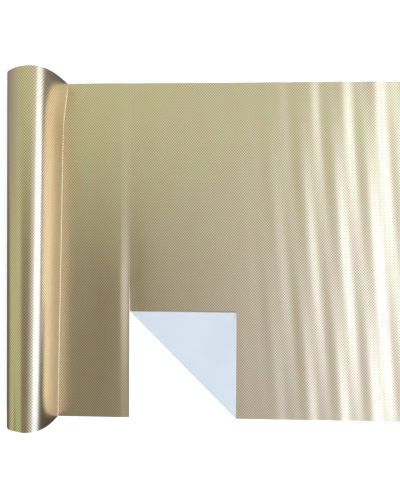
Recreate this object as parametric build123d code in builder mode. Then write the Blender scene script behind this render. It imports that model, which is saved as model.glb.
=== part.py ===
"""A part-used roll of embossed metallic sign vinyl, its laid-out tail, and a sheet cut off it.

The roll lies along Y. Its loose outer wrap goes over the crown and down to the table, where
it turns out along +X as a flat tail. A knife cut ends the tail, and the cut-off sheet lies past it with
one corner folded over. Everything rests on z = 0, and x = 0 and y = 0 are the middle.
"""

import os
from math import cos, radians, sin, sqrt, tan

from build123d import *

# ---- Driving dimensions, in millimetres and degrees ----
web_width = 304.8  # 12 in, along the roll's axis
film_thickness = 0.18  # embossed vinyl with its adhesive coat
liner_thickness = 0.14  # release paper
layer_gap = 0.01  # air between one layer and the next

core_bore = 25.4  # 1 in
core_wall = 1.6
tape_thickness = 0.08
tape_length = 280.0
tape_arc = 70.0
wound_turns = 6
clearance = 0.30  # between pieces that move past each other

wrap_radius = 18.65  # outside of the loose outer wrap
wrap_start = -65.0  # where the wrap begins, under the roll
leave_angle = 12.0  # where the web leaves the wrap, above the horizontal
foot_radius = 2.0  # the sharp turn out on to the table
tail_reach = 86.0  # from the roll's axis to the cut
wrap_shift = 0.8  # how far the loose wrap stands to +X of the wound roll

knife_gap = 0.5
sheet_length = 304.8  # the cut-off sheet is square
fold_leg = 97.0  # the folded corner's two short sides

# ---- Sizes that follow from them ----
half_width = web_width / 2
web_thickness = film_thickness + layer_gap + liner_thickness
winding_pitch = web_thickness + layer_gap
core_radius = core_bore / 2 + core_wall
winding_start = core_radius + tape_thickness + 2 * layer_gap
wound_radius = winding_start + wound_turns * winding_pitch + web_thickness

# The wound roll lies low and to the left in its loose wrap, clear of it all round.
slack = wrap_radius - web_thickness - wound_radius - clearance
wrap_lift = sqrt(slack**2 - wrap_shift**2)
wrap_height = wrap_radius
axis_height = wrap_height - wrap_lift

# The descent runs straight from the wrap to the foot's turn.
turn = radians(leave_angle)
foot_z = web_thickness + foot_radius
drop = wrap_height + (wrap_radius + foot_radius) * sin(turn) - foot_z

total_length = wrap_radius - wrap_shift + tail_reach + knife_gap + sheet_length
wrap_x = wrap_radius - total_length / 2
axis_x = wrap_x - wrap_shift
cut_x = axis_x + tail_reach
foot_x = wrap_x + (wrap_radius + foot_radius) * cos(turn) + drop * tan(turn)
sheet_start = cut_x + knife_gap
sheet_end = sheet_start + sheet_length

# The folded stack: liner, film, a gap, film, liner.
fold_height = 2 * web_thickness + clearance
hinge_height = fold_height / 2
bend_radius = fold_height / 2
bend_inset = bend_radius * sqrt(2)
crease_length = fold_leg * sqrt(2)

across = Plane((0, 0, 0), x_dir=(1, 0, 0), z_dir=(0, -1, 0))
roll_end = Plane((axis_x, 0, axis_height), x_dir=(1, 0, 0), z_dir=(0, -1, 0))
# Looking along the crease: x points into the sheet, y up, and the origin is on the table.
crease_start = Plane(
    (sheet_start, fold_leg - half_width, 0), x_dir=(1, 1, 0), z_dir=(1, -1, 0)
)


def winding(inner_radius, outer_radius):
    """A spiral band of half-circle arcs, starting and ending under the axis."""
    half_turns = 2 * wound_turns
    lift = winding_pitch / 4
    growth = winding_pitch / 2
    for half in range(half_turns):
        left_side = half % 2 == 0
        centre = (0, lift if left_side else -lift)
        start = -90 if left_side else 90
        radius_now = (half + 0.5) * growth
        CenterArc(centre, inner_radius + radius_now, start, -180)
        CenterArc(centre, outer_radius + radius_now, start, -180)
    grown = half_turns * growth
    Line((0, -inner_radius), (0, -outer_radius))
    Line((0, -inner_radius - grown), (0, -outer_radius - grown))


def foot_top(depth):
    """Where the straight descent ends and the turn on to the table begins."""
    reach = foot_radius + depth
    return (foot_x - reach * cos(turn), foot_z - reach * sin(turn))


def outer_wrap(top_depth, bottom_depth):
    """The loose outer wrap and its descent, between two depths below the film's face."""
    sweep = leave_angle - wrap_start - 360
    centre = (wrap_x, wrap_height)
    top = CenterArc(centre, wrap_radius - top_depth, wrap_start, sweep)
    bottom = CenterArc(centre, wrap_radius - bottom_depth, wrap_start, sweep)
    Polyline(top @ 1, foot_top(top_depth), foot_top(bottom_depth), bottom @ 1)
    Line(top @ 0, bottom @ 0)


def tail(top_depth, bottom_depth):
    """The sharp turn on to the table and the flat tail, between two depths."""
    sweep = 90 - leave_angle
    centre = (foot_x, foot_z)
    top = CenterArc(centre, foot_radius + top_depth, 180 + leave_angle, sweep)
    bottom = CenterArc(centre, foot_radius + bottom_depth, 180 + leave_angle, sweep)
    top_end = (cut_x, web_thickness - top_depth)
    bottom_end = (cut_x, web_thickness - bottom_depth)
    Polyline(top @ 1, top_end, bottom_end, bottom @ 1)
    Line(top @ 0, bottom @ 0)


def sheet_outline():
    """The cut-off sheet, square but for the corner that is folded over."""
    side = fold_leg + bend_inset
    Polyline(
        (sheet_start, side - half_width),
        (sheet_start + side, -half_width),
        (sheet_end, -half_width),
        (sheet_end, half_width),
        (sheet_start, half_width),
        close=True,
    )


def flap_outline():
    """The folded corner, lying on the sheet."""
    tip_x = sheet_start + fold_leg
    tip_y = fold_leg - half_width
    Polyline(
        (sheet_start + bend_inset, tip_y),
        (tip_x, tip_y),
        (tip_x, bend_inset - half_width),
        close=True,
    )


def crease_outline(inner_radius, outer_radius):
    """The half-round bend that joins the sheet and its folded corner."""
    centre = (bend_radius, hinge_height)
    outer = CenterArc(centre, outer_radius, 90, 180)
    inner = CenterArc(centre, inner_radius, 90, 180)
    Line(outer @ 0, inner @ 0)
    Line(outer @ 1, inner @ 1)


def save(part, name):
    """Label a finished piece and write its STEP file."""
    part.label = name
    export_step(part, f"parts/{name}.step")
    print(f"{name}: {part.volume:.1f} mm3")


os.makedirs("parts", exist_ok=True)

# ---- The wound roll ----
with BuildPart() as core_tube:
    with BuildSketch(roll_end):
        Circle(core_radius)
        Circle(core_bore / 2, mode=Mode.SUBTRACT)
    extrude(amount=half_width, both=True)

with BuildPart() as core_tape:
    with BuildSketch(roll_end):
        with BuildLine():
            tape_base = core_radius + layer_gap
            tape_first = -90 - tape_arc / 2
            under = CenterArc((0, 0), tape_base, tape_first, tape_arc)
            over = CenterArc((0, 0), tape_base + tape_thickness, tape_first, tape_arc)
            Line(under @ 0, over @ 0)
            Line(under @ 1, over @ 1)
        make_face()
    extrude(amount=tape_length / 2, both=True)

with BuildPart() as wound_liner:
    with BuildSketch(roll_end):
        with BuildLine():
            winding(winding_start, winding_start + liner_thickness)
        make_face()
    extrude(amount=half_width, both=True)

with BuildPart() as wound_film:
    with BuildSketch(roll_end):
        with BuildLine():
            winding(winding_start + web_thickness - film_thickness, winding_start + web_thickness)
        make_face()
    extrude(amount=half_width, both=True)

# ---- The loose outer wrap, and the tail from its foot to the cut ----
with BuildPart() as wrap_film:
    with BuildSketch(across):
        with BuildLine():
            outer_wrap(0, film_thickness)
        make_face()
    extrude(amount=half_width, both=True)

with BuildPart() as wrap_liner:
    with BuildSketch(across):
        with BuildLine():
            outer_wrap(film_thickness + layer_gap, web_thickness)
        make_face()
    extrude(amount=half_width, both=True)

with BuildPart() as tail_film:
    with BuildSketch(across):
        with BuildLine():
            tail(0, film_thickness)
        make_face()
    extrude(amount=half_width, both=True)

with BuildPart() as tail_liner:
    with BuildSketch(across):
        with BuildLine():
            tail(film_thickness + layer_gap, web_thickness)
        make_face()
    extrude(amount=half_width, both=True)

# ---- The cut-off sheet ----
with BuildPart() as sheet_liner:
    with BuildSketch():
        with BuildLine():
            sheet_outline()
        make_face()
    extrude(amount=liner_thickness)

with BuildPart() as sheet_film:
    with BuildSketch(Plane.XY.offset(web_thickness - film_thickness)):
        with BuildLine():
            sheet_outline()
        make_face()
    extrude(amount=film_thickness)

with BuildPart() as crease_liner:
    with BuildSketch(crease_start):
        with BuildLine():
            crease_outline(bend_radius - liner_thickness, bend_radius)
        make_face()
    extrude(amount=crease_length)

with BuildPart() as crease_film:
    with BuildSketch(crease_start):
        with BuildLine():
            crease_outline(bend_radius - web_thickness, bend_radius - web_thickness + film_thickness)
        make_face()
    extrude(amount=crease_length)

# ---- Its folded corner, back side up ----
with BuildPart() as flap_film:
    with BuildSketch(Plane.XY.offset(fold_height - web_thickness)):
        with BuildLine():
            flap_outline()
        make_face()
    extrude(amount=film_thickness)

with BuildPart() as flap_liner:
    with BuildSketch(Plane.XY.offset(fold_height - liner_thickness)):
        with BuildLine():
            flap_outline()
        make_face()
    extrude(amount=liner_thickness)

save(core_tube.part, "core_tube")
save(core_tape.part, "core_tape")
save(wound_liner.part, "wound_liner")
save(wound_film.part, "wound_film")
save(wrap_film.part, "wrap_film")
save(wrap_liner.part, "wrap_liner")
save(tail_film.part, "tail_film")
save(tail_liner.part, "tail_liner")
save(sheet_liner.part, "sheet_liner")
save(sheet_film.part, "sheet_film")
save(crease_liner.part, "crease_liner")
save(crease_film.part, "crease_film")
save(flap_film.part, "flap_film")
save(flap_liner.part, "flap_liner")

print(f"box {total_length:.2f} x {web_width:.1f} x {2 * wrap_radius:.2f}")
print(f"axis at x {axis_x:.3f}, z {axis_height:.3f}; wound radius {wound_radius:.3f}")
print(f"wrap centre x {wrap_x:.3f}, z {wrap_height:.3f}; cut at {cut_x:.3f}, sheet from {sheet_start:.3f}")
print(f"crease through {sheet_start:.3f}, {fold_leg - half_width:.3f}, hinge height {hinge_height:.3f}")
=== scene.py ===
"""The look of a part-used roll of embossed champagne-gold sign vinyl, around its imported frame."""

from math import atan2, cos, exp, pi, radians, sin, sqrt, tau

import bpy
from mathutils import Matrix, Vector, noise


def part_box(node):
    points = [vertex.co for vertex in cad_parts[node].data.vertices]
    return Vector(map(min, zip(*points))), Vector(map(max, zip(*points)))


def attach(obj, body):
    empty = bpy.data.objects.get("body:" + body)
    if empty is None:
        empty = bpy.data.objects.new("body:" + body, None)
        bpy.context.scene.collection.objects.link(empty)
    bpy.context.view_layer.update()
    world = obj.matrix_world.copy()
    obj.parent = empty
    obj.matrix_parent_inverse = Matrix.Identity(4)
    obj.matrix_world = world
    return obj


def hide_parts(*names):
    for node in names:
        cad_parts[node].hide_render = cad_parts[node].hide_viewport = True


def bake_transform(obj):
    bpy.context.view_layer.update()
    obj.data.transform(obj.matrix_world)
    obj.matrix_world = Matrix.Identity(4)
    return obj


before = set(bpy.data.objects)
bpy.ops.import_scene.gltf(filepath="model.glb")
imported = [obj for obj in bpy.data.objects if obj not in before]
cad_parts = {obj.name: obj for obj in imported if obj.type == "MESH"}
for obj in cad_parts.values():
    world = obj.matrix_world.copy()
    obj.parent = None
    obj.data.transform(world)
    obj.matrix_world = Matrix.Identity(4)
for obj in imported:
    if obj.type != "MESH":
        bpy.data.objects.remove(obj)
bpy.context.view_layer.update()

# ---- The web's layers, and places and sizes from the frame, in metres ----
MM = 0.001
FILM = 0.18 * MM
LINER = 0.14 * MM
GAP = 0.01 * MM  # air between one layer and the next
TAPE = 0.08 * MM
WEB = FILM + GAP + LINER

tail_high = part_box("tail_film")[1]
sheet_low, sheet_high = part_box("sheet_film")
flap_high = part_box("flap_liner")[1]
core_low, core_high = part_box("core_tube")

WIDTH = sheet_high.y - sheet_low.y
HALF = WIDTH / 2
CUT_X = tail_high.x
SHEET_X = sheet_low.x
SHEET_LENGTH = sheet_high.x - sheet_low.x
AXIS_X = (core_low.x + core_high.x) / 2
AXIS_Z = (core_low.z + core_high.z) / 2
CORE_RADIUS = (core_high.z - core_low.z) / 2
WINDING_PITCH = WEB + GAP
WOUND_TURNS = 6
WINDING_START = CORE_RADIUS + TAPE + 2 * GAP
WOUND_RADIUS = WINDING_START + WOUND_TURNS * WINDING_PITCH + WEB

# The folded corner: its bend's outer radius and what that takes off each side of the sheet, its two
# short sides, and how deep it reaches into the sheet.
BEND = flap_high.z / 2
BEND_INSET = BEND * sqrt(2)
FOLD_LEG = flap_high.x - SHEET_X
FOLD_DEPTH = FOLD_LEG / sqrt(2)


# ---- Small helpers ----
def blend(a, b, t):
    """The value a share t of the way from a to b."""
    return a + (b - a) * t


def smooth(t):
    """0 before 0, 1 after 1, and a soft step between."""
    t = min(max(t, 0.0), 1.0)
    return t * t * (3 - 2 * t)


def bell(t):
    """1 at 0, and softly down to nothing on both sides."""
    return exp(-(t**2))


def hump(distance, rise, fall):
    """0 at 0, up to 1 over the rise, and back to 0 over the fall."""
    return smooth(distance / rise) * (1 - smooth((distance - rise) / fall))


def waver(x, y, rates, layer):
    """Smooth noise between -1 and 1. The rates are its swings per metre; each layer is another pattern."""
    return noise.noise((x * rates[0], y * rates[1], layer))


SHARP_ANGLE = 40  # degrees, past which an edge isn't shaded smooth


def finished(name, mesh):
    """An object at the origin from a mesh, smooth but for its edges."""
    mesh.validate()
    mesh.shade_smooth()
    mesh.set_sharp_from_angle(angle=radians(SHARP_ANGLE))
    piece = bpy.data.objects.new(name, mesh)
    bpy.context.scene.collection.objects.link(piece)
    return piece


def shell(name, top, bottom, web_uv):
    """A closed thin mesh between two grids of points, with each point's place in the flat web."""
    last_row = len(top) - 1
    last_column = len(top[0]) - 1
    count = len(top) * len(top[0])
    points = [point for row in top for point in row]
    points += [point for row in bottom for point in row]

    def at(row, column, under=0):
        return under * count + row * (last_column + 1) + column

    faces = []
    for row in range(last_row):
        below = row + 1
        for column in range(last_column):
            right = column + 1
            faces.append((at(row, column), at(row, right), at(below, right), at(below, column)))
            faces.append((at(row, column, 1), at(below, column, 1), at(below, right, 1), at(row, right, 1)))
    for row in range(last_row):
        below = row + 1
        faces.append((at(row, 0), at(below, 0), at(below, 0, 1), at(row, 0, 1)))
        end = last_column
        faces.append((at(below, end), at(row, end), at(row, end, 1), at(below, end, 1)))
    for column in range(last_column):
        right = column + 1
        faces.append((at(0, right), at(0, column), at(0, column, 1), at(0, right, 1)))
        end = last_row
        faces.append((at(end, column), at(end, right), at(end, right, 1), at(end, column, 1)))

    mesh = bpy.data.meshes.new(name)
    mesh.from_pydata(points, [], faces)
    flat = [place for row in web_uv for place in row]
    layer = mesh.uv_layers.new(name="web")
    for loop in mesh.loops:
        layer.data[loop.index].uv = flat[loop.vertex_index % count]
    return finished(name, mesh)


# ---- Materials ----
MIX_FIRST = 6  # a Mix node's colour sockets, by their place in its list
MIX_SECOND = 7
MIX_RESULT = 2


class Nodes:
    """A node tree, with short ways to add and join its nodes."""

    def __init__(self, tree):
        self.tree = tree

    def node(self, kind, **settings):
        made = self.tree.nodes.new(kind)
        for key, value in settings.items():
            setattr(made, key, value)
        return made

    def join(self, source, target):
        self.tree.links.new(source, target)

    def maths(self, operation, first, second=None):
        made = self.node("ShaderNodeMath", operation=operation)
        for socket, value in zip(made.inputs, (first, second)):
            if value is None:
                continue
            if isinstance(value, (int, float)):
                socket.default_value = value
            else:
                self.join(value, socket)
        return made.outputs[0]

    def noise(self, vector, scale, detail):
        made = self.node("ShaderNodeTexNoise")
        made.inputs["Scale"].default_value = scale
        made.inputs["Detail"].default_value = detail
        self.join(vector, made.inputs["Vector"])
        return made.outputs["Fac"]

    def stretch(self, vector, scale):
        made = self.node("ShaderNodeMapping")
        made.inputs["Scale"].default_value = scale
        self.join(vector, made.inputs["Vector"])
        return made.outputs["Vector"]

    def spread(self, value, from_range, to_range, **settings):
        made = self.node("ShaderNodeMapRange", **settings)
        made.inputs["From Min"].default_value = from_range[0]
        made.inputs["From Max"].default_value = from_range[1]
        made.inputs["To Min"].default_value = to_range[0]
        made.inputs["To Max"].default_value = to_range[1]
        self.join(value, made.inputs["Value"])
        return made.outputs["Result"]

    def colours(self, value, *stops):
        made = self.node("ShaderNodeValToRGB")
        ramp = made.color_ramp
        while len(ramp.elements) < len(stops):
            ramp.elements.new(0.5)
        for element, (place, colour) in zip(ramp.elements, stops):
            element.position = place
            element.color = (*colour, 1)
        self.join(value, made.inputs["Fac"])
        return made.outputs["Color"]

    def shaded(self, colour, tone):
        """The colour times a tone."""
        made = self.node("ShaderNodeMix", data_type="RGBA", blend_type="MULTIPLY")
        made.inputs["Factor"].default_value = 1.0
        self.join(colour, made.inputs[MIX_FIRST])
        self.join(tone, made.inputs[MIX_SECOND])
        return made.outputs[MIX_RESULT]

    def bump(self, height, distance, strength=1.0):
        made = self.node("ShaderNodeBump")
        made.inputs["Strength"].default_value = strength
        made.inputs["Distance"].default_value = distance
        self.join(height, made.inputs["Height"])
        return made.outputs["Normal"]


class Finish(Nodes):
    """A new material and its node tree."""

    def __init__(self, name):
        self.material = bpy.data.materials.new(name)
        self.material.use_nodes = True
        super().__init__(self.material.node_tree)
        self.shader = self.tree.nodes["Principled BSDF"]


NOISE_MIDDLE = (0.3, 0.7)  # the range that a noise texture mostly stays in
DIAMOND_LENGTH = 2.3 * MM
DIAMOND_WIDTH = 2.6 * MM
EMBOSS_DEPTH = 0.02 * MM
ORANGE_PEEL = 0.25  # the height of the film's fine grain, beside the emboss
PAINTED_VALLEY_SHADE_AND_PEAK_HIGHLIGHT = (0.42, 1.12)  # painted shade in the emboss's valleys and painted highlight on its peaks, as factors on the base colour
FILM_ROUGHNESS = (0.285, 0.31)


def champagne_film():
    """Metallised embossed vinyl: a lattice of tiny diamonds in a warm gold, with painted shade in the
    diamonds' valleys and painted highlight on their peaks.
    """
    finish = Finish("champagne_film")
    shader = finish.shader
    shader.inputs["Metallic"].default_value = 1.0
    shader.inputs["Specular IOR Level"].default_value = 0.5

    web = finish.node("ShaderNodeUVMap", uv_map="web").outputs["UV"]
    parts = finish.node("ShaderNodeSeparateXYZ")
    finish.join(web, parts.inputs[0])
    along = finish.maths("COSINE", finish.maths("MULTIPLY", parts.outputs["X"], tau / DIAMOND_LENGTH))
    across = finish.maths("COSINE", finish.maths("MULTIPLY", parts.outputs["Y"], tau / DIAMOND_WIDTH))
    lattice = finish.maths("MULTIPLY", along, across)

    grain = finish.noise(web, scale=380.0, detail=2.0)
    height = finish.maths("ADD", lattice, finish.maths("MULTIPLY", grain, ORANGE_PEEL))
    finish.join(finish.bump(height, EMBOSS_DEPTH), shader.inputs["Normal"])

    tint = finish.colours(
        finish.noise(finish.stretch(web, (60.0, 24.0, 1.0)), scale=1.0, detail=3.0),
        (0.32, (0.88, 0.66, 0.41)),
        (0.50, (0.88, 0.68, 0.42)),
        (0.68, (0.86, 0.70, 0.42)),
    )
    # Painted shade and highlight: the base colour is darker in the lattice's valleys and lighter on its
    # peaks.
    tone = finish.spread(lattice, (-1.0, 1.0), PAINTED_VALLEY_SHADE_AND_PEAK_HIGHLIGHT)
    finish.join(finish.shaded(tint, tone), shader.inputs["Base Color"])

    patches = finish.noise(web, scale=90.0, detail=2.0)
    finish.join(finish.spread(patches, NOISE_MIDDLE, FILM_ROUGHNESS), shader.inputs["Roughness"])
    return finish.material


def release_liner():
    """Coated off-white release paper with a faint fibre grain."""
    finish = Finish("release_liner")
    shader = finish.shader
    place = finish.node("ShaderNodeTexCoord").outputs["Object"]
    cloud = finish.noise(place, scale=16.0, detail=3.0)
    colour = finish.colours(
        cloud,
        (0.35, (0.80, 0.755, 0.70)),
        (0.65, (0.86, 0.81, 0.745)),
    )
    finish.join(colour, shader.inputs["Base Color"])
    grain = finish.noise(finish.stretch(place, (1.0, 0.4, 1.0)), scale=2200.0, detail=3.0)
    finish.join(finish.bump(grain, 0.02 * MM, strength=0.5), shader.inputs["Normal"])
    finish.join(finish.spread(cloud, NOISE_MIDDLE, (0.38, 0.50)), shader.inputs["Roughness"])
    return finish.material


PLY_PITCH = 62 * MM  # from one turn of the core's seam to the next
SEAM_EDGE = (0.485, 0.5)  # how far from the middle of a ply its seam is, in plies
WHOLE_PLIES = 20.0  # added so that every ply's number is above 0
SEAM_TONE = (0.45, 1.0)


def core_board():
    """Spiral-wound paperboard: brown fibre, with the seam between its plies."""
    finish = Finish("core_board")
    shader = finish.shader
    place = finish.node("ShaderNodeTexCoord").outputs["Object"]
    centred = finish.node("ShaderNodeMapping")
    centred.inputs["Location"].default_value = (-AXIS_X, 0.0, -AXIS_Z)
    finish.join(place, centred.inputs["Vector"])
    parts = finish.node("ShaderNodeSeparateXYZ")
    finish.join(centred.outputs["Vector"], parts.inputs[0])
    angle = finish.maths("ARCTAN2", parts.outputs["X"], parts.outputs["Z"])
    turns = finish.maths("DIVIDE", angle, tau)
    steps = finish.maths("DIVIDE", parts.outputs["Y"], PLY_PITCH)
    plies = finish.maths("ADD", finish.maths("ADD", turns, steps), WHOLE_PLIES)
    helix = finish.maths("FRACT", plies)
    from_middle = finish.maths("ABSOLUTE", finish.maths("SUBTRACT", helix, 0.5))
    board_height = finish.spread(from_middle, SEAM_EDGE, (1.0, 0.0))

    fibre = finish.noise(finish.stretch(place, (1.0, 0.35, 1.0)), scale=900.0, detail=4.0)
    blotch = finish.noise(place, scale=60.0, detail=3.0)
    fibre_share = finish.maths("MULTIPLY", fibre, 0.6)
    blotch_share = finish.maths("MULTIPLY", blotch, 0.4)
    board = finish.colours(
        finish.maths("ADD", fibre_share, blotch_share),
        (0.32, (0.23, 0.155, 0.085)),
        (0.50, (0.34, 0.245, 0.145)),
        (0.68, (0.44, 0.335, 0.215)),
    )
    tone = finish.spread(board_height, (0.0, 1.0), SEAM_TONE)
    finish.join(finish.shaded(board, tone), shader.inputs["Base Color"])
    height = finish.maths("ADD", finish.maths("MULTIPLY", fibre, 0.35), board_height)
    finish.join(finish.bump(height, 0.12 * MM), shader.inputs["Normal"])
    shader.inputs["Roughness"].default_value = 0.85
    return finish.material


def clear_tape():
    """A strip of yellowed clear tape."""
    finish = Finish("clear_tape")
    place = finish.node("ShaderNodeTexCoord").outputs["Object"]
    streak = finish.noise(finish.stretch(place, (1.0, 0.1, 1.0)), scale=120.0, detail=2.0)
    colour = finish.colours(
        streak,
        (0.3, (0.74, 0.70, 0.58)),
        (0.7, (0.82, 0.79, 0.68)),
    )
    finish.join(colour, finish.shader.inputs["Base Color"])
    finish.join(finish.spread(streak, NOISE_MIDDLE, (0.25, 0.4)), finish.shader.inputs["Roughness"])
    return finish.material


def table_white():
    """The plain white surface that everything lies on, a little lit from within."""
    finish = Finish("table_white")
    shader = finish.shader
    shader.inputs["Base Color"].default_value = (0.86, 0.86, 0.86, 1)
    shader.inputs["Roughness"].default_value = 0.9
    shader.inputs["Emission Color"].default_value = (1, 1, 1, 1)
    shader.inputs["Emission Strength"].default_value = 0.5
    return finish.material


film_finish = champagne_film()
liner_finish = release_liner()

# ---- The loose outer wrap, its descent and the tail ----
ROWS = 96  # along the roll
WRAP_STEPS = 48
CROWN_STEPS = 14
DESCENT_STEPS = 36
FOOT_STEPS = 8
TAIL_STEPS = 56

# The wrap hugs the wound turns from below, round the left side, to where it leaves them.
WRAP_START = radians(-65)
HUG_GAP = 0.12 * MM
HUG_RADIUS = WOUND_RADIUS + HUG_GAP + WEB

# The wrap grows looser along the roll. Of each pair, the first is at the tight end and the second at the
# loose one. The crown and the wall are measured from the roll's axis, and heights from the table.
LEAVE_ANGLE = (104, 130)
CROWN_X = (5.2 * MM, 11.0 * MM)
CROWN_HEIGHT = (37.0 * MM, 40.6 * MM)
WALL_X = (20.1 * MM, 25.2 * MM)

# Over the last stretch of the roll, the wall also flares out at its foot.
FLARE_START = 0.86
FLARE_OUT = 3.4 * MM
LEAN = (-1, 5)  # degrees, before the flare and at its end

# How strongly the curves over the crown are led out of one point and into the next.
HUG_PULL = 0.36  # a share of the way to the crown
CROWN_PULL = 14.6 * MM
WALL_PULL = 18 * MM
FOOT_RADIUS = 0.5 * MM
FOOT_SETTLES = 20 * MM  # how far past the foot the tail's own height counts in full

# The tail stands highest a little before its cut edge, most of all at one place along the roll.
TAIL_CREST = (0.34 * MM, 1.19 * MM)  # far from that place, and at it
TAIL_CREST_Y = -40 * MM
TAIL_CREST_SPREAD = 58 * MM
TAIL_CREST_RISE = 9 * MM  # from the cut up to the crest
TAIL_CREST_FALL = 30 * MM  # and from the crest on toward the foot
TAIL_UNEVEN = 0.12 * MM
TAIL_EDGE = 8 * MM  # over which the unevenness comes in from the cut


def tail_height(x, y):
    """How far the tail stands off the table; its cut edge droops back to it."""
    to_cut = CUT_X - x
    crest = blend(*TAIL_CREST, bell((y - TAIL_CREST_Y) / TAIL_CREST_SPREAD))
    droop = crest * hump(to_cut, TAIL_CREST_RISE, TAIL_CREST_FALL)
    low = TAIL_UNEVEN * (1 + waver(x, y, (25, 18), 8.2)) * smooth(to_cut / TAIL_EDGE)
    return droop + low


def curve(start, start_pull, end, end_pull, steps):
    """Points along a smooth curve from start to end, led out and in by its two pulls."""
    first = start + start_pull
    last = end - end_pull
    points = []
    for step in range(1, steps + 1):
        t = step / steps
        s = 1 - t
        place = s**3 * start + 3 * s * s * t * first + 3 * s * t * t * last + t**3 * end
        points.append((place.x, place.y))
    return points


def wrap_path(y):
    """The face of the film seen from the roll's end at one place along it, as (x, z) points."""
    loose = (y + HALF) / WIDTH
    flare = smooth((loose - FLARE_START) / (1 - FLARE_START))
    leave = radians(blend(*LEAVE_ANGLE, loose))
    lean = radians(blend(*LEAN, flare))
    wall = blend(*WALL_X, loose) + FLARE_OUT * flare
    crown = Vector((AXIS_X + blend(*CROWN_X, loose), blend(*CROWN_HEIGHT, loose)))

    points = []
    turn = tau - leave + WRAP_START
    for step in range(WRAP_STEPS + 1):
        angle = WRAP_START - turn * step / WRAP_STEPS
        points.append((AXIS_X + HUG_RADIUS * cos(angle), AXIS_Z + HUG_RADIUS * sin(angle)))

    start = Vector(points[-1])
    pull = (crown - start).length * HUG_PULL
    off_hug = pull * Vector((sin(leave), -cos(leave)))
    points += curve(start, off_hug, crown, Vector((pull, 0)), CROWN_STEPS)

    foot_x = AXIS_X + wall + FOOT_RADIUS * cos(lean)
    foot_z = WEB + FOOT_RADIUS
    end = Vector((foot_x - FOOT_RADIUS * cos(lean), foot_z - FOOT_RADIUS * sin(lean)))
    over = Vector((CROWN_PULL, 0))
    down = WALL_PULL * Vector((sin(lean), -cos(lean)))
    points += curve(crown, over, end, down, DESCENT_STEPS)

    sweep = pi / 2 - lean
    for step in range(1, FOOT_STEPS + 1):
        angle = pi + lean + sweep * step / FOOT_STEPS
        points.append((foot_x + FOOT_RADIUS * cos(angle), foot_z + FOOT_RADIUS * sin(angle)))

    for step in range(1, TAIL_STEPS + 1):
        x = blend(foot_x, CUT_X, step / TAIL_STEPS)
        rise = tail_height(x, y) * smooth((x - foot_x) / FOOT_SETTLES)
        points.append((x, WEB + rise))
    return points


def offset_path(points, depth):
    """The same path, a depth below the face of the film."""
    moved = []
    for number, (x, z) in enumerate(points):
        before = points[max(number - 1, 0)]
        after = points[min(number + 1, len(points) - 1)]
        run = after[0] - before[0]
        rise = after[1] - before[1]
        length = sqrt(run * run + rise * rise)
        moved.append((x + depth * rise / length, z - depth * run / length))
    return moved


def lengths_along(points):
    """How far along the path each of its points is."""
    total = 0.0
    found = [total]
    for before, after in zip(points, points[1:]):
        total += sqrt((after[0] - before[0]) ** 2 + (after[1] - before[1]) ** 2)
        found.append(total)
    return found


def laid_web():
    """The film and the liner of the loose wrap, the descent and the tail, and the web's mean length."""
    ys = [blend(-HALF, HALF, row / ROWS) for row in range(ROWS + 1)]
    paths = [wrap_path(y) for y in ys]
    flat = []
    for y, path in zip(ys, paths):
        along = lengths_along(path)
        flat.append([(CUT_X - (along[-1] - length), y) for length in along])

    def grid(depth):
        return [[(x, y, z) for x, z in offset_path(path, depth)] for y, path in zip(ys, paths)]

    film = shell("laid_film", grid(0), grid(FILM), flat)
    liner = shell("laid_liner", grid(FILM + GAP), grid(WEB), flat)
    mean_length = sum(lengths_along(path)[-1] for path in paths) / len(paths)
    return film, liner, mean_length


laid_film, laid_liner, laid_length = laid_web()

# ---- The cut-off sheet ----
CLOSED_UP = 0.38 * MM  # the sheet still nearly touches the tail along the cut
CLOSES_OVER = 30 * MM  # along the cut, from the folded corner on
SHEET_COLUMNS = 150
SHEET_ROWS = 120

# Long soft ripples, whose crests run the same way as the roll.
RIPPLE_LENGTH = 30 * MM
RIPPLE_CREST = 158.9 * MM  # from the cut to one of the crests
RIPPLE_HEIGHT = 0.52 * MM
RIPPLES_BEGIN = 85 * MM  # from the cut
RIPPLES_GROW = 90 * MM  # from there to their whole height
RIPPLE_SHARE = 0.85  # of the whole height, at the end by the folded corner
RIPPLE_GAIN = 0.3  # more of it at the other end
RIPPLE_WAVER = 0.25
CREST_BOW = 1.0 * MM  # how far a crest bows, and how far it wavers
CREST_WAVER = 0.8 * MM
BOW_START = -20 * MM
BOW_LENGTH = 420 * MM
SECOND_RIPPLE = 0.10 * MM
SECOND_RATE = 2.1  # swings for each main ripple
SECOND_SLANT = 40  # radians of its swing for each metre along the roll
SHEET_UNEVEN = 0.14 * MM
SHEET_EDGE = 25 * MM  # over which the unevenness comes in from the cut
FOLD_EDGE = 25 * MM  # over which all of it comes in from the crease

# Near the cut the sheet stands a little higher, most of all at one place along the roll.
CUT_CREST = 0.45 * MM
CUT_CREST_Y = -8 * MM
CUT_CREST_SPREAD = 48 * MM
CUT_CREST_RISE = 14 * MM
CUT_CREST_FALL = 45 * MM


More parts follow.
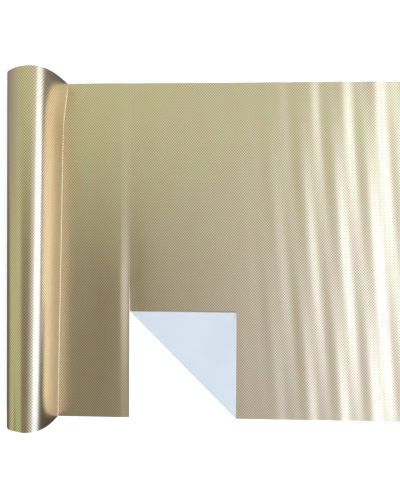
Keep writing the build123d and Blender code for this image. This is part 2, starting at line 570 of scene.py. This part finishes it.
def wave(x, y):
    """How far the cut-off sheet stands off the table."""
    from_cut = x - SHEET_X
    strength = smooth((from_cut - RIPPLES_BEGIN) / RIPPLES_GROW)
    bow = CREST_BOW * sin(tau * (y - BOW_START) / BOW_LENGTH)
    drift = bow + CREST_WAVER * waver(from_cut, y, (12, 9), 0.3)
    phase = tau * (from_cut - RIPPLE_CREST + drift) / RIPPLE_LENGTH
    height = RIPPLE_SHARE + RIPPLE_GAIN * smooth(y / HALF)
    height += RIPPLE_WAVER * waver(from_cut, y, (14, 7), 2.7)
    ripple = RIPPLE_HEIGHT * (1 + cos(phase)) / 2 * height * strength
    second = SECOND_RIPPLE * (1 + sin(SECOND_RATE * phase + SECOND_SLANT * y)) * strength
    low = SHEET_UNEVEN * (1 + waver(from_cut, y, (12, 5), 5.1)) * smooth(from_cut / SHEET_EDGE)
    middle = bell((y - CUT_CREST_Y) / CUT_CREST_SPREAD)
    cut_rise = CUT_CREST * middle * hump(from_cut, CUT_CREST_RISE, CUT_CREST_FALL)
    clear_of_fold = smooth((from_cut + y + HALF - FOLD_LEG) / FOLD_EDGE)
    return (ripple + second + low + cut_rise) * clear_of_fold


def cut_sheet():
    """The sheet's film and liner, square but for the folded corner."""
    side = FOLD_LEG + BEND_INSET
    side_rows = round(SHEET_ROWS * side / WIDTH)
    upper_rows = SHEET_ROWS - side_rows
    ys = [blend(-HALF, side - HALF, row / side_rows) for row in range(side_rows)]
    ys += [blend(side - HALF, HALF, row / upper_rows) for row in range(upper_rows + 1)]
    right = SHEET_X + SHEET_LENGTH
    flat = []
    for y in ys:
        left = SHEET_X + max(0.0, side - (y + HALF))
        left -= CLOSED_UP * smooth((y + HALF - side) / CLOSES_OVER)
        xs = [blend(left, right, column / SHEET_COLUMNS) for column in range(SHEET_COLUMNS + 1)]
        flat.append([(x, y) for x in xs])

    def grid(height):
        return [[(x, y, height + wave(x, y)) for x, y in row] for row in flat]

    film = shell("cut_film", grid(WEB), grid(LINER + GAP), flat)
    liner = shell("cut_liner", grid(LINER), grid(0), flat)
    return film, liner


cut_film, cut_liner = cut_sheet()

# ---- The folded corner and its bend ----
CREASE_START = Vector((SHEET_X, FOLD_LEG - HALF, 0))
ALONG_CREASE = Vector((1, -1, 0)).normalized()
INTO_SHEET = Vector((1, 1, 0)).normalized()
CREASE_LENGTH = FOLD_LEG * sqrt(2)
TIP = 0.15 * MM  # how much the corner's point is blunted
BEND_STEPS = 14
FLAP_ROWS = 44
FLAP_COLUMNS = 72
FLAP_LIFT = 1.5 * MM  # how far the point springs up
FLAP_CURVE = 1.6  # above 1, so that it springs up mostly near the point
FLAP_TWIST = 0.5 * MM  # how much more one side springs up


def corner_layer(name, inner, outer):
    """One layer of the folded corner, from the sheet's edge round the bend to the corner's tip."""
    middle = (inner + outer) / 2
    bend_length = pi * middle
    rows = [("bend", step / BEND_STEPS) for step in range(BEND_STEPS + 1)]
    rows += [("flap", step / FLAP_ROWS) for step in range(1, FLAP_ROWS + 1)]
    columns = [step / FLAP_COLUMNS for step in range(FLAP_COLUMNS + 1)]

    def point(kind, share, across, radius):
        """A point's place on the folded corner, and its place in the flat web."""
        if kind == "bend":
            angle = pi * share
            into = BEND - radius * sin(angle)
            up = BEND - radius * cos(angle)
            first = 0.0
            travelled = bend_length * (share - 1)
        else:
            into = blend(BEND, FOLD_DEPTH - TIP, share)
            twist = FLAP_TWIST * share * smooth((across - 0.5) / 0.5)
            up = BEND + radius + FLAP_LIFT * share**FLAP_CURVE + twist
            first = into
            travelled = into - BEND
        along = blend(first, CREASE_LENGTH - first, across)
        place = CREASE_START + ALONG_CREASE * along + INTO_SHEET * into
        place.z = up
        flat = CREASE_START + ALONG_CREASE * along - INTO_SHEET * travelled
        return place, (flat.x, flat.y)

    def grid(radius):
        return [[point(kind, share, across, radius)[0] for across in columns] for kind, share in rows]

    flat = [[point(kind, share, across, middle)[1] for across in columns] for kind, share in rows]
    return shell(name, grid(inner), grid(outer), flat)


corner_film = corner_layer("corner_film", BEND - WEB, BEND - WEB + FILM)
corner_liner = corner_layer("corner_liner", BEND - LINER, BEND)

# ---- The wound turns, made by a node tree ----
TURN_STEPS = 96
EDGE_DRIFT = 0.22 * MM  # how far a layer's edge stands out of line
DRIFT_RATE = 4100.0  # radians of that drift's swing for each metre outward


def winding_tree():
    """A tree that winds a flat strip into a spiral, each layer a little out of line with the next."""
    tree = bpy.data.node_groups.new("winding", "GeometryNodeTree")
    sockets = {}

    def number(name, value, kind="NodeSocketFloat"):
        made = tree.interface.new_socket(name, in_out="INPUT", socket_type=kind)
        made.default_value = value
        sockets[name] = made.identifier

    tree.interface.new_socket("Geometry", in_out="INPUT", socket_type="NodeSocketGeometry")
    number("Turns", WOUND_TURNS)
    number("Start Radius", WINDING_START)
    number("End Radius", WOUND_RADIUS)
    number("Thickness", FILM)
    number("Width", WIDTH)
    number("Steps per Turn", TURN_STEPS, "NodeSocketInt")
    number("Edge Drift", EDGE_DRIFT)
    number("Drift Rate", DRIFT_RATE)
    material = tree.interface.new_socket("Finish", in_out="INPUT", socket_type="NodeSocketMaterial")
    sockets["Finish"] = material.identifier
    tree.interface.new_socket("Geometry", in_out="OUTPUT", socket_type="NodeSocketGeometry")

    nodes = Nodes(tree)
    node = nodes.node
    join = nodes.join
    given = node("NodeGroupInput").outputs
    spiral = node("GeometryNodeCurveSpiral")
    spiral.inputs["Height"].default_value = 0.0
    spiral.inputs["Reverse"].default_value = True
    join(given["Steps per Turn"], spiral.inputs["Resolution"])
    join(given["Turns"], spiral.inputs["Rotations"])
    join(given["Start Radius"], spiral.inputs["Start Radius"])
    join(given["End Radius"], spiral.inputs["End Radius"])
    upright = node("GeometryNodeSetCurveNormal", mode="Z_UP")
    join(spiral.outputs["Curve"], upright.inputs["Curve"])
    strip = node("GeometryNodeCurvePrimitiveQuadrilateral", mode="RECTANGLE")
    join(given["Thickness"], strip.inputs["Width"])
    join(given["Width"], strip.inputs["Height"])
    wound = node("GeometryNodeCurveToMesh")
    wound.inputs["Fill Caps"].default_value = True
    join(upright.outputs["Curve"], wound.inputs["Curve"])
    join(strip.outputs["Curve"], wound.inputs["Profile Curve"])

    # The drift swings with the distance from the axis, so that neighbouring layers differ.
    place = node("GeometryNodeInputPosition")
    parts = node("ShaderNodeSeparateXYZ")
    join(place.outputs[0], parts.inputs[0])
    level = node("ShaderNodeCombineXYZ")
    join(parts.outputs["X"], level.inputs["X"])
    join(parts.outputs["Y"], level.inputs["Y"])
    radius = node("ShaderNodeVectorMath", operation="LENGTH")
    join(level.outputs[0], radius.inputs[0])
    swing = nodes.maths("SINE", nodes.maths("MULTIPLY", radius.outputs["Value"], given["Drift Rate"]))
    shift = node("ShaderNodeCombineXYZ")
    join(nodes.maths("MULTIPLY", swing, given["Edge Drift"]), shift.inputs["Z"])
    moved = node("GeometryNodeSetPosition")
    join(wound.outputs["Mesh"], moved.inputs["Geometry"])
    join(shift.outputs[0], moved.inputs["Offset"])

    real = node("GeometryNodeRealizeInstances")
    join(moved.outputs["Geometry"], real.inputs["Geometry"])
    painted = node("GeometryNodeSetMaterial")
    join(real.outputs["Geometry"], painted.inputs["Geometry"])
    join(given["Finish"], painted.inputs["Material"])
    join(painted.outputs["Geometry"], node("NodeGroupOutput").inputs[0])
    return tree, sockets


winding, winding_sockets = winding_tree()


def wound_layer(name, first_radius, thickness, finish):
    """One wound web, from the core out, on the roll's axis."""
    maker = bpy.data.objects.new(name + "_maker", bpy.data.meshes.new(name + "_maker"))
    bpy.context.scene.collection.objects.link(maker)
    modifier = maker.modifiers.new("winding", "NODES")
    modifier.node_group = winding
    middle = first_radius + thickness / 2
    values = {
        "Turns": float(WOUND_TURNS),
        "Start Radius": middle,
        "End Radius": middle + WOUND_TURNS * WINDING_PITCH,
        "Thickness": thickness,
        "Width": WIDTH,
        "Steps per Turn": TURN_STEPS,
        "Edge Drift": EDGE_DRIFT,
        "Drift Rate": DRIFT_RATE,
        "Finish": finish,
    }
    for key, value in values.items():
        modifier[winding_sockets[key]] = value
    graph = bpy.context.evaluated_depsgraph_get()
    mesh = bpy.data.meshes.new_from_object(maker.evaluated_get(graph))
    bpy.data.objects.remove(maker)
    mesh.name = name
    to_axis = Matrix.Translation((AXIS_X, 0, AXIS_Z))
    lay_down = Matrix.Rotation(pi / 2, 4, "X")
    ends_below = Matrix.Rotation(-pi / 2, 4, "Z")
    mesh.transform(to_axis @ lay_down @ ends_below)
    return finished(name, mesh)


wound_liner = wound_layer("wound_liner_turns", WINDING_START, LINER, liner_finish)
wound_film = wound_layer("wound_film_turns", WINDING_START + LINER + GAP, FILM, film_finish)

# ---- Finishes, bodies and what each piece stands for ----
PIECES = (
    (laid_film, film_finish, "metallic_film", "laid_out_web", ("wrap_film", "tail_film")),
    (laid_liner, liner_finish, "release_liner", "laid_out_web", ("wrap_liner", "tail_liner")),
    (cut_film, film_finish, "metallic_film", "cut_sheet", ("sheet_film",)),
    (cut_liner, liner_finish, "release_liner", "cut_sheet", ("sheet_liner",)),
    (wound_film, film_finish, "metallic_film", "wound_roll", ("wound_film",)),
    (wound_liner, liner_finish, "release_liner", "wound_roll", ("wound_liner",)),
    (corner_film, film_finish, "metallic_film", None, ("crease_film", "flap_film")),
    (corner_liner, liner_finish, "release_liner", None, ("crease_liner", "flap_liner")),
)
for piece, finish, slot, body, nodes in PIECES:
    if not piece.data.materials:
        piece.data.materials.append(finish)
    if body:
        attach(piece, body)
    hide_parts(*nodes)

# Each corner piece has its place baked into its mesh; the points at the bend's two ends are worked out but
# not used.
for piece, underside in ((corner_film, WEB - FILM), (corner_liner, 0.0)):
    start = CREASE_START.copy()
    start.z = underside + FILM
    end = CREASE_START.copy()
    end.z = 2 * BEND - underside - FILM
    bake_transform(piece)

for node_name, finish in (("core_tube", core_board()), ("core_tape", clear_tape())):
    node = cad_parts[node_name]
    node.data.materials.clear()
    node.data.materials.append(finish)

# ---- Table, light and camera ----
TABLE_REACH = 4.0
TABLE_DROP = 0.02 * MM  # keeps the table's face out of the liner's


def table_top():
    """A plain table under everything, which shiny surfaces don't mirror."""
    mesh = bpy.data.meshes.new("table")
    corners = [(-1, -1), (1, -1), (1, 1), (-1, 1)]
    points = [(TABLE_REACH * x, TABLE_REACH * y, 0) for x, y in corners]
    mesh.from_pydata(points, [], [(0, 1, 2, 3)])
    mesh.materials.append(table_white())
    table = bpy.data.objects.new("table", mesh)
    table.location.z = -TABLE_DROP
    table.visible_glossy = False
    bpy.context.scene.collection.objects.link(table)


# Each stop is a direction, in degrees to the right of straight up, and the room's light from there:
# level with the middle of the roll, and past its far end.
ROOM_MIDDLE = (
    (-180, (0.10, 0.10, 0.10)),
    (-140, (0.11, 0.11, 0.11)),
    (-100, (0.20, 0.19, 0.19)),
    (-88, (0.66, 0.71, 0.60)),
    (-64, (0.78, 0.98, 0.76)),
    (-54, (0.29, 0.29, 0.25)),
    (-12, (0.29, 0.29, 0.25)),
    (2, (0.62, 0.67, 0.78)),
    (12, (0.86, 0.98, 1.24)),
    (30, (0.88, 1.04, 1.50)),
    (74, (0.82, 0.98, 1.50)),
    (84, (0.16, 0.15, 0.13)),
    (104, (0.12, 0.12, 0.11)),
    (180, (0.10, 0.10, 0.10)),
)
ROOM_FAR = (
    (-180, (0.12, 0.12, 0.14)),
    (-110, (0.34, 0.33, 0.38)),
    (-80, (0.64, 0.68, 0.68)),
    (-45, (0.72, 0.86, 0.72)),
    (-20, (0.76, 0.90, 0.76)),
    (20, (0.76, 0.90, 0.92)),
    (70, (0.76, 0.90, 1.02)),
    (82, (0.30, 0.32, 0.34)),
    (180, (0.12, 0.12, 0.14)),
)

# How far toward +Y a direction points, from -1 to 1: where the far end's light takes over from the
# middle's, and where the near end's dimmer light gives way.
FAR_TAKES_OVER = (-0.04, 0.26)
NEAR_GIVES_WAY = (-0.7, -0.1)
NEAR_STRENGTH = 0.9


def room_light():
    """A room's light by direction: greenish on the left, dim overhead, pale blue on the right."""
    world = bpy.data.worlds.new("room")
    bpy.context.scene.world = world
    world.use_nodes = True
    room = Nodes(world.node_tree)
    place = room.node("ShaderNodeTexCoord")
    parts = room.node("ShaderNodeSeparateXYZ")
    room.join(place.outputs["Generated"], parts.inputs[0])
    angle = room.maths("ARCTAN2", parts.outputs["X"], parts.outputs["Z"])
    turn = room.spread(angle, (-pi, pi), (0.0, 1.0))

    def around(stops):
        return room.colours(turn, *((0.5 + degrees / 360, colour) for degrees, colour in stops))

    far_share = room.spread(
        parts.outputs["Y"], FAR_TAKES_OVER, (0.0, 1.0), interpolation_type="SMOOTHSTEP"
    )
    mixed = room.node("ShaderNodeMix", data_type="RGBA")
    room.join(far_share, mixed.inputs["Factor"])
    room.join(around(ROOM_MIDDLE), mixed.inputs[MIX_FIRST])
    room.join(around(ROOM_FAR), mixed.inputs[MIX_SECOND])
    strength = room.spread(parts.outputs["Y"], NEAR_GIVES_WAY, (NEAR_STRENGTH, 1.0))
    background = world.node_tree.nodes["Background"]
    room.join(mixed.outputs[MIX_RESULT], background.inputs["Color"])
    room.join(strength, background.inputs["Strength"])


# The soft box hangs over the right side. Its near and far edges are (x, z), seen from the roll's end.
BOX_NEAR = Vector((0.66, 1.30))
BOX_FAR = Vector((2.40, 0.45))
BOX_MIDDLE_Y = -0.12
BOX_WIDTH = 1.75
BOX_POWER = 29.0
BOX_COLOUR = (0.50, 0.65, 1.0)


def soft_box():
    """A broad bluish lamp, high on the right and leaning toward the roll."""
    across = BOX_FAR - BOX_NEAR
    lamp = bpy.data.lights.new("soft_box", "AREA")
    lamp.shape = "RECTANGLE"
    lamp.size = across.length
    lamp.size_y = BOX_WIDTH
    lamp.energy = BOX_POWER
    lamp.color = BOX_COLOUR
    stand = bpy.data.objects.new("soft_box", lamp)
    middle = (BOX_NEAR + BOX_FAR) / 2
    stand.location = (middle.x, BOX_MIDDLE_Y, middle.y)
    stand.rotation_euler = (0, atan2(-across.y, across.x), 0)
    bpy.context.scene.collection.objects.link(stand)


CAMERA_FROM_CUT = 75.3 * MM
CAMERA_ACROSS = 3.7 * MM
CAMERA_HEIGHT = 388.8 * MM
CAMERA_TURNS = (("Y", 1.64), ("X", -0.41), ("Z", 0.26))
CAMERA_LENS = 30.8
CAMERA_SENSOR = 36.0
CAMERA_NEAREST = 0.01


def camera():
    """The camera looks straight down, a hair off square."""
    eye = bpy.data.cameras.new("camera")
    eye.lens = CAMERA_LENS
    eye.sensor_width = CAMERA_SENSOR
    eye.clip_start = CAMERA_NEAREST
    aim = Matrix.Translation((CUT_X + CAMERA_FROM_CUT, CAMERA_ACROSS, CAMERA_HEIGHT))
    for axis, angle in CAMERA_TURNS:
        aim = aim @ Matrix.Rotation(radians(angle), 4, axis)
    stand = bpy.data.objects.new("camera", eye)
    stand.matrix_world = aim
    bpy.context.scene.collection.objects.link(stand)
    bpy.context.scene.camera = stand


table_top()
room_light()
soft_box()
camera()
bpy.context.scene.view_settings.view_transform = "Standard"
